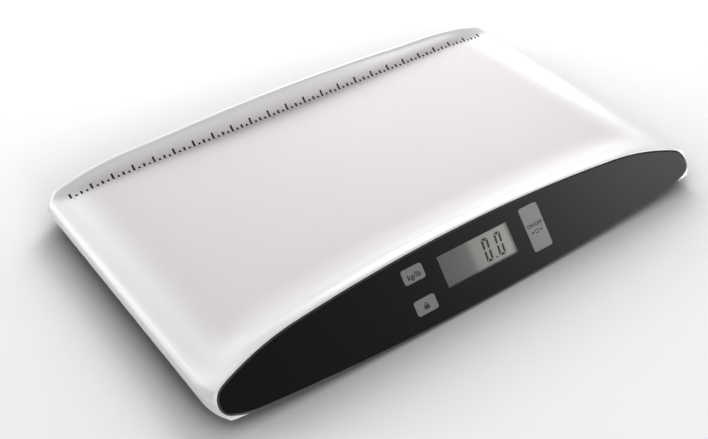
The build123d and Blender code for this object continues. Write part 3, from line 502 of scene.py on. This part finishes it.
def skin_height(x, arch_z, y, inset=0.0):
    """Height of the skin where the arch is at (x, arch_z), and how far it belongs to the tray floor, with its
    matt finish and painted shade.
    """
    far = abs(x)
    sunk_z = arch_z - end_drop * (1 - ease(end_drop_start, end_drop_end, far))
    near = max(0.0, 1 - abs(sunk_z - floor_z + inset) / floor_blend)
    base_z = min(sunk_z, floor_z - inset) - near**3 * floor_blend / 6
    swell = ease(swell_start, swell_full, far) * (1 - ease(swell_end, half_length, far))
    arch_z += rear_fullness * swell * ease(rear_crest_y - 2 * rear_rim[0], rear_crest_y, y)
    front = rim_share(y - panel_edge_y(arch_z + inset), front_rim)
    rear = rim_share(rear_crest_y - y, rear_rim)
    share = max(front, rear)
    matt_and_shade = (1 - ease(matt_shade_start, matt_shade_end, far)) * (1 - ease(0.0, matt_shade_rise, share))
    return base_z + (arch_z - base_z) * share, matt_and_shade


def squeeze(x, y):
    """Draws the ends in, round the corners in plan."""
    if y > half_depth - rear_corner_radius:
        radius = rear_corner_radius
        along = min((y - half_depth + radius) / radius, sin(rear_corner_turn))
    elif y < front_corner_start:
        radius = front_corner_radius
        along = (front_corner_start - y) / radius
    else:
        return x
    start = half_length - radius
    if abs(x) <= start:
        return x
    return (start + (abs(x) - start) * sqrt(1 - along**2)) * (1 if x > 0 else -1)


def rim_curve(before, corner, after, steps):
    """Points of a small round edge between two faces."""
    points = []
    for step in range(steps + 1):
        t = step / steps
        points.append(before * (1 - t) ** 2 + corner * 2 * t * (1 - t) + after * t**2)
    return points


def rear_turn(arch_z, inset):
    """Radius of the round rear edge, which fades out towards the tips, and the y where it starts."""
    radius = (rear_edge_radius - inset) * min(1.0, (arch_z - tip_z) / rear_edge_fade)
    return radius, half_depth - inset - radius


def rear_side(x, top, arch_z, inset=0.0):
    """The line's round rear edge and the rear wall under it, down from the height of its top."""
    radius, last_y = rear_turn(arch_z, inset)
    line = []
    for step in range(1, edge_steps + 1):
        turn = pi / 2 * step / edge_steps
        y = last_y + radius * sin(turn)
        line.append(Vector((squeeze(x, y), y, top - radius * (1 - cos(turn)))))
    foot = line[-1].copy()
    for row in range(1, wall_rows + 1):
        line.append(Vector((foot.x, foot.y, foot.z + (tip_z - foot.z) * row / wall_rows)))
    return line


def top_side(x, start_y, arch_z, inset=0.0):
    """The line over the top, from the front edge to where the rear edge turns, and its floor shares."""
    _, last_y = rear_turn(arch_z, inset)
    line = []
    shares = []
    for row in range(1, top_rows + 1):
        y = start_y + (last_y - start_y) * row / top_rows
        z, share = skin_height(x, arch_z, y, inset)
        line.append(Vector((squeeze(x, y), y, z)))
        shares.append(share)
    return line, shares


def outer_column(arch, pocket):
    """One line of the outer skin, from the pocket's foot over the top to the rear edge."""
    x, arch_z = arch[0], tip_z + arch[1]
    edge = panel_point(0, slope_to(arch_z))
    edge.x = squeeze(x, edge.y)
    brink = panel_point(pocket[0], slope_to(tip_z) + pocket[1])
    strip = (edge - brink).normalized()
    width = (edge - brink).length
    lip = min(pocket_edge_radius, width / 3)
    turn = min(front_edge_radius, width / 3)
    line = [brink - panel_out * pocket_depth, brink - panel_out * lip]
    line += rim_curve(brink - panel_out * lip, brink, brink + strip * lip, pocket_edge_steps)[1:]
    over = Vector((x, edge.y + turn, 0))
    over.z, _ = skin_height(x, arch_z, over.y)
    over.x = squeeze(x, over.y)
    line += rim_curve(edge - strip * turn, edge + Vector((0, 0, over.z - arch_z)), over, edge_steps)
    for point in line[:2]:
        point.z = max(point.z, tip_z)
    top, shares = top_side(x, over.y, arch_z)
    rear = rear_side(x, top[-1].z, arch_z)
    return line + top + rear, [0.0] * len(line) + shares + [0.0] * len(rear)


def inner_column(arch, front_rows):
    """The same line on the inner side of the skin."""
    x, arch_z = arch[0], tip_z + arch[1]
    start = panel_point(0, slope_to(arch_z + pocket_depth * sin(panel_lean)), -pocket_depth)
    start.x = squeeze(x, start.y)
    top, _ = top_side(x, start.y, arch_z, wall)
    return [start] * front_rows + top + rear_side(x, top[-1].z, arch_z, wall)


def skin_faces(columns, rows):
    """Faces of the outer grid, of the inner grid behind it, and of the four strips that join them."""
    count = columns * rows
    faces = []
    for column in range(columns - 1):
        for row in range(rows - 1):
            a = column * rows + row
            b = a + rows
            faces.append((a, b, b + 1, a + 1))
            faces.append((count + a, count + a + 1, count + b + 1, count + b))
        for a in (column * rows, column * rows + rows - 1):
            faces.append((a, a + rows, count + a + rows, count + a))
    for start in (0, (columns - 1) * rows):
        for row in range(rows - 1):
            a = start + row
            faces.append((a, a + 1, count + a + 1, count + a))
    return faces


def tray_skin():
    """The white top shell as one closed skin with an even wall."""
    crown = (crest_z - tip_z, crown_bends, crown_tip_radius)
    outer_arch = arch_columns(half_length, *crown, 0)
    inner_arch = arch_columns(half_length, *crown, wall)
    pocket_height = slope_to(crest_z) - slope_to(tip_z) - pocket_top_margin
    pocket = arch_columns(pocket_half_width, pocket_height, pocket_bends, pocket_tip_radius, -pocket_gap)
    outer = [outer_column(arch, brink) for arch, brink in zip(outer_arch, pocket)]
    columns = len(outer)
    rows = len(outer[0][0])
    front_rows = rows - top_rows - edge_steps - wall_rows
    inner = [inner_column(arch, front_rows) for arch in inner_arch]
    points = [point for line, _ in outer for point in line] + [point for line in inner for point in line]
    shares = [share for _, line in outer for share in line] + [0.0] * (columns * rows)
    faces = skin_faces(columns, rows)
    skin = make_piece(
        "tray_skin", points, faces, "housing", "tray_white", skin_merge, shares
    )
    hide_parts("tray_cover")


tray_skin()


# Ruler printed along the foot of the rear rim
inch = 25.4
ruler_inches = 23
ruler_y = 166.5
tick_lengths = (6.6, 2.8, 4.2, 2.8)
tick_width = 2.5
tick_rows = 8
print_lift = 0.08
print_sink = 0.05
number_size = 3.6
number_offset = Vector((2.6, -2.6, 0))
number_thickness = 0.06
letter_spacing = 1.12
letter_steps = 4
crown_points = arch_columns(half_length, crest_z - tip_z, crown_bends, crown_tip_radius, 0)
crown_x = [x for x, _ in crown_points]
crown_h = [height for _, height in crown_points]


def surface_z(x, y):
    """Height of the outer skin, in millimetres."""
    return skin_height(x, tip_z + float(np.interp(x, crown_x, crown_h)), y)[0]


def ruler_ticks():
    """Quarter inch ticks with longer ones at the half and whole inches, laid on the skin."""
    points, faces = [], []
    for quarter in range(4 * ruler_inches + 1):
        x = (quarter / 4 - ruler_inches / 2) * inch
        length = tick_lengths[quarter % 4]
        start = len(points)
        for row in range(tick_rows + 1):
            y = ruler_y + length * row / tick_rows
            for side in (-1, 1):
                side_x = x + side * tick_width / 2
                z = surface_z(side_x, y)
                points.append(Vector((side_x, y, z + print_lift)))
                points.append(Vector((side_x, y, z - print_sink)))
        for row in range(tick_rows):
            a = start + 4 * row
            b = a + 4
            faces += [(a, a + 2, b + 2, b), (a + 1, b + 1, b + 3, a + 3)]
            faces += [(a, b, b + 1, a + 1), (a + 2, a + 3, b + 3, b + 2)]
        end = start + 4 * tick_rows
        faces += [(start, start + 1, start + 3, start + 2), (end, end + 2, end + 3, end + 1)]
    make_piece("ruler_ticks", points, faces, "housing", "print_black")


def words(text, size, centre, up, thickness, weight=0.0):
    """Points and faces of solid lettering, in millimetres, centred on a place and thickened by weight."""
    curve = bpy.data.curves.new("lettering", "FONT")
    curve.body = text
    curve.size = size
    curve.extrude = thickness / 2
    curve.offset = weight
    curve.space_character = letter_spacing
    curve.align_x = "CENTER"
    curve.align_y = "CENTER"
    curve.resolution_u = letter_steps
    holder = add_object("lettering", curve)
    mesh = bpy.data.meshes.new_from_object(holder.evaluated_get(bpy.context.evaluated_depsgraph_get()))
    bpy.data.objects.remove(holder)
    out = x_axis.cross(up)
    points = [centre + x_axis * v.co.x + up * v.co.y + out * v.co.z for v in mesh.vertices]
    faces = [tuple(polygon.vertices) for polygon in mesh.polygons]
    bpy.data.meshes.remove(mesh)
    return points, faces


def ruler_numbers():
    """Plain numbers beside the whole inch ticks."""
    points, faces = [], []
    for whole in range(ruler_inches + 1):
        x = (whole - ruler_inches / 2) * inch
        centre = Vector((x, ruler_y, 0)) + number_offset
        some, shapes = words(str(whole), number_size, centre, y_axis, number_thickness)
        start = len(points)
        for point in some:
            point.z += surface_z(point.x, point.y)
            points.append(point)
        faces += [tuple(start + corner for corner in shape) for shape in shapes]
    make_piece("ruler_numbers", points, faces, "housing", "print_grey")


ruler_ticks()
ruler_numbers()


# Display digits: slanted seven part figures that read 0.0. Their corners are cut and pointed by shares of
# the stroke.
lcd_face_out = 0.03
digit_thickness = 0.05
digit_height = 24.5
digit_width = 8.8
digit_stroke = 2.7
digit_slant = 0.09
digit_gap = 0.5
digit_places = (14.6, 31.6)
digit_v = 42.8
corner_cut = 0.35
inner_cut = 0.45
point_cut = 0.5
point_place = 22.6
point_size = 1.9


def face_out(node):
    """How far the front face of a node stands out of the panel's plane, in millimetres."""
    return max((Vector(v.co) / mm - panel_foot).dot(panel_out) for v in nodes[node].data.vertices)


def on_panel(shapes, name, body, finish, out, thickness):
    """Flat shapes (lists of x, v) as thin solid plates on a plane beside the panel's face."""
    points, faces = [], []
    for shape in shapes:
        start = len(points)
        count = len(shape)
        points += [panel_point(x, v, out) for x, v in shape]
        points += [panel_point(x, v, out - thickness) for x, v in shape]
        faces.append(tuple(range(start, start + count)))
        faces.append(tuple(reversed(range(start + count, start + 2 * count))))
        for corner in range(count):
            after = (corner + 1) % count
            faces.append((start + corner, start + count + corner, start + count + after, start + after))
    make_piece(name, points, faces, body, finish)


def zero_shapes(centre):
    """The six lit parts of a zero, as outlines in panel coordinates."""
    half_w, half_h = digit_width / 2, digit_height / 2
    stroke, gap = digit_stroke, digit_gap
    parts = []
    for up in (-1, 1):
        parts.append([
            (-half_w + stroke * corner_cut, up * half_h),
            (half_w - stroke * corner_cut, up * half_h),
            (half_w - stroke - gap, up * (half_h - stroke)),
            (-half_w + stroke + gap, up * (half_h - stroke)),
        ])
        for side in (-1, 1):
            parts.append([
                (side * half_w, up * (half_h - stroke * corner_cut)),
                (side * half_w, up * (stroke * inner_cut + gap)),
                (side * (half_w - stroke * point_cut), up * gap),
                (side * (half_w - stroke), up * (stroke * inner_cut + gap)),
                (side * (half_w - stroke), up * (half_h - stroke - gap)),
            ])
    return [[(centre + x + v * digit_slant, digit_v + v) for x, v in part] for part in parts]


def bar_shape(x0, x1, v0, v1):
    """Outline of an upright bar."""
    return [(x0, v0), (x1, v0), (x1, v1), (x0, v1)]


def display_figures():
    """The reading and its point, laid on the glass."""
    shapes = [shape for place in digit_places for shape in zero_shapes(place)]
    half = point_size / 2
    foot = digit_v - digit_height / 2
    shapes.append(bar_shape(point_place - half, point_place + half, foot, foot + point_size))
    on_panel(
        shapes, "display_figures", "housing", "segment_grey",
        face_out("lcd_panel") + lcd_face_out, digit_thickness,
    )


display_figures()


# Button legends: generic words and marks. Each place is measured from the middle of its button.
legend_thickness = 0.06
legend_weight = 0.28
ring_steps = 33
shackle_steps = 17

# Zero mark: a ring, left open by a hair, between two arrows
mark_drop = 4.4
ring_turn = 2 * pi * 0.999
ring_radius = 2.5
ring_stroke = 0.95
arrow_tip = 3.6
arrow_back = 7.0
arrow_half_height = 1.9

# Padlock
lock_drop = 0.6
lock_half_width = 3.2
lock_foot = 3.4
lock_top = 0.9
shackle_rise = 1.4
shackle_radius = 2.2
shackle_stroke = 0.75


def key_centre(node):
    """Middle of a button's face in panel coordinates, and how far it stands out."""
    places = [Vector(v.co) / mm - panel_foot for v in nodes[node].data.vertices]
    xs = [place.x for place in places]
    vs = [place.dot(panel_up) for place in places]
    return (min(xs) + max(xs)) / 2, (min(vs) + max(vs)) / 2, face_out(node)


def word_legend(name, text, size, button, x_shift, v_shift):
    """Lettering on a button's face."""
    x, v, out = key_centre(button)
    centre = panel_point(x + x_shift, v + v_shift, out)
    points, faces = words(text, size, centre, panel_up, legend_thickness, legend_weight)
    make_piece(name, points, faces, button, "legend_dark")


def shape_legend(name, shapes, button, out):
    """Flat marks on a button's face."""
    on_panel(
        shapes, name, button, "legend_dark", out + legend_thickness / 2, legend_thickness
    )


def arc(x, v, radius, start, end, steps):
    """Points along an arc, from one angle to another."""
    return [(x + radius * cos(turn), v + radius * sin(turn)) for turn in np.linspace(start, end, steps)]


def ring_shape(x, v, radius, stroke, end, steps):
    """Outline of a ring from the right round to an angle."""
    return arc(x, v, radius, 0, end, steps) + arc(x, v, radius - stroke, end, 0, steps)


def zero_mark():
    """A zero between arrows, for setting the reading to nought."""
    x, v, out = key_centre("power_tare_button")
    v -= mark_drop
    shapes = [ring_shape(x, v, ring_radius, ring_stroke, ring_turn, ring_steps)]
    for side in (-1, 1):
        shapes.append([
            (x + side * arrow_tip, v),
            (x + side * arrow_back, v + side * arrow_half_height),
            (x + side * arrow_back, v - side * arrow_half_height),
        ])
    shape_legend("zero_legend", shapes, "power_tare_button", out)


def hold_mark():
    """A closed padlock, for a reading that stays."""
    x, v, out = key_centre("hold_button")
    v -= lock_drop
    top, rise = v + lock_top, v + shackle_rise
    inner_radius = shackle_radius - shackle_stroke
    shapes = [
        bar_shape(x - lock_half_width, x + lock_half_width, v - lock_foot, top),
        ring_shape(x, rise, shackle_radius, shackle_stroke, pi, shackle_steps),
        bar_shape(x - shackle_radius, x - inner_radius, top, rise),
        bar_shape(x + inner_radius, x + shackle_radius, top, rise),
    ]
    shape_legend("hold_legend", shapes, "hold_button", out)


word_legend("unit_legend", "kg/lb", 7.6, "unit_button", 0.3, -1.6)
word_legend("power_legend", "ON/OFF", 5.3, "power_tare_button", 0.0, 2.6)
zero_mark()
hold_mark()


# Floor and world. The floor's tone is what lights the object. Where the floor is seen, its contact shadow is
# deepened: the stops go from how hidden a place is to its tone.
ground_size = 12.0
ground_roughness = 0.9
floor_tone = 0.80
shadow_reach = 0.16
shadow_stops = ((0.35, 0.20), (0.62, 0.50), (1.0, 1.0))
sky_strength = 0.20


def seen_rays(made, links):
    """1 for the rays of the camera, of reflections and of clear pieces, and 0 for the rest."""
    rays = made.new("ShaderNodeLightPath")
    either = made.new("ShaderNodeMath")
    either.operation = "MAXIMUM"
    any_of = made.new("ShaderNodeMath")
    any_of.operation = "MAXIMUM"
    links.new(rays.outputs["Is Camera Ray"], either.inputs[0])
    links.new(rays.outputs["Is Glossy Ray"], either.inputs[1])
    links.new(either.outputs["Value"], any_of.inputs[0])
    links.new(rays.outputs["Is Transmission Ray"], any_of.inputs[1])
    return any_of.outputs["Value"]


def pale_floor():
    """A plain pale ground under the feet."""
    half = ground_size / 2
    corners = [(-half, -half, 0), (half, -half, 0), (half, half, 0), (-half, half, 0)]
    mesh = bpy.data.meshes.new("ground")
    mesh.from_pydata(corners, [], [(0, 1, 2, 3)])
    ground = add_object("ground", mesh)
    material, made, links, shader = new_material("ground_pale")
    openness = made.new("ShaderNodeAmbientOcclusion")
    openness.inputs["Distance"].default_value = shadow_reach
    stops = [(position, (tone,) * 3) for position, tone in shadow_stops]
    near = ramp(made, links, openness.outputs["AO"], stops)
    tone = colour_mix(made, links, seen_rays(made, links), (*(floor_tone,) * 3, 1), near)
    links.new(tone, shader.inputs["Base Color"])
    shader.inputs["Roughness"].default_value = ground_roughness
    shader.inputs["Specular IOR Level"].default_value = 0.0
    mesh.materials.append(material)
    ground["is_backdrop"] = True


def pale_world():
    """Even light from all round, with a white backdrop for the camera and for reflections."""
    world = bpy.data.worlds.new("studio")
    world.use_nodes = True
    bpy.context.scene.world = world
    made, links = world.node_tree.nodes, world.node_tree.links
    made.clear()
    fill = made.new("ShaderNodeBackground")
    fill.inputs["Strength"].default_value = sky_strength
    fill.inputs["Color"].default_value = (1, 1, 1, 1)
    white = made.new("ShaderNodeBackground")
    mix = made.new("ShaderNodeMixShader")
    out = made.new("ShaderNodeOutputWorld")
    links.new(seen_rays(made, links), mix.inputs["Fac"])
    links.new(fill.outputs["Background"], mix.inputs[1])
    links.new(white.outputs["Background"], mix.inputs[2])
    links.new(mix.outputs["Shader"], out.inputs["Surface"])


# Lamps: where each stands, what it points at, its width and height in metres and its level of light
body_middle = (0, 0, 0.04)
left_end = (-0.31, 0, 0.03)
panel_right = (0.2, -0.16, 0.04)


def softbox(name, place, target, width, height, level, lights="both"):
    """An area lamp that gives a surface facing it at the target this level of light. It lights both, only
    the gloss (highlights) or only the faces (no highlight)."""
    lamp = bpy.data.lights.new(name, "AREA")
    lamp.shape = "RECTANGLE"
    lamp.size = width
    lamp.size_y = height
    away = Vector(target) - Vector(place)
    lamp.energy = level * pi**2 * away.length_squared
    holder = add_object(name, lamp)
    holder.location = place
    holder.rotation_euler = away.to_track_quat("-Z", "Y").to_euler()
    holder.visible_diffuse = lights != "gloss"
    holder.visible_glossy = lights != "faces"


pale_floor()
pale_world()
softbox("key", (1.40, 1.58, 1.25), body_middle, 1.4, 1.4, 0.77)
softbox("rear_strip", (0.75, 1.90, 1.40), body_middle, 2.5, 0.6, 0.33)
softbox("front_fill", (-0.30, -1.95, 0.80), body_middle, 1.3, 1.0, 0.50, "faces")
softbox("left_side", (-1.45, 1.20, 0.45), left_end, 0.8, 0.6, 0.38)
softbox("left_mid", (-1.11, 1.22, 1.00), left_end, 0.8, 1.0, 0.52, "gloss")
softbox("left_high", (-0.70, 1.20, 1.36), left_end, 0.6, 1.2, 0.30, "gloss")
softbox("panel_gloss", (1.36, -0.92, 0.64), panel_right, 0.75, 0.5, 0.88, "gloss")

# Camera
lens = 53.26
sensor_width = 36.0
nearest_seen = 0.01
camera_place = (-0.5716, -0.7254, 0.7343)
yaw = radians(36.35)
pitch = radians(39.46)
camera_data = bpy.data.cameras.new("camera")
camera_data.lens = lens
camera_data.sensor_width = sensor_width
camera_data.clip_start = nearest_seen
camera = add_object("camera", camera_data)
camera.location = camera_place
camera.rotation_euler = (pi / 2 - pitch, 0, -yaw)
bpy.context.scene.camera = camera

bpy.context.scene.view_settings.view_transform = "Standard"

low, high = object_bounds()
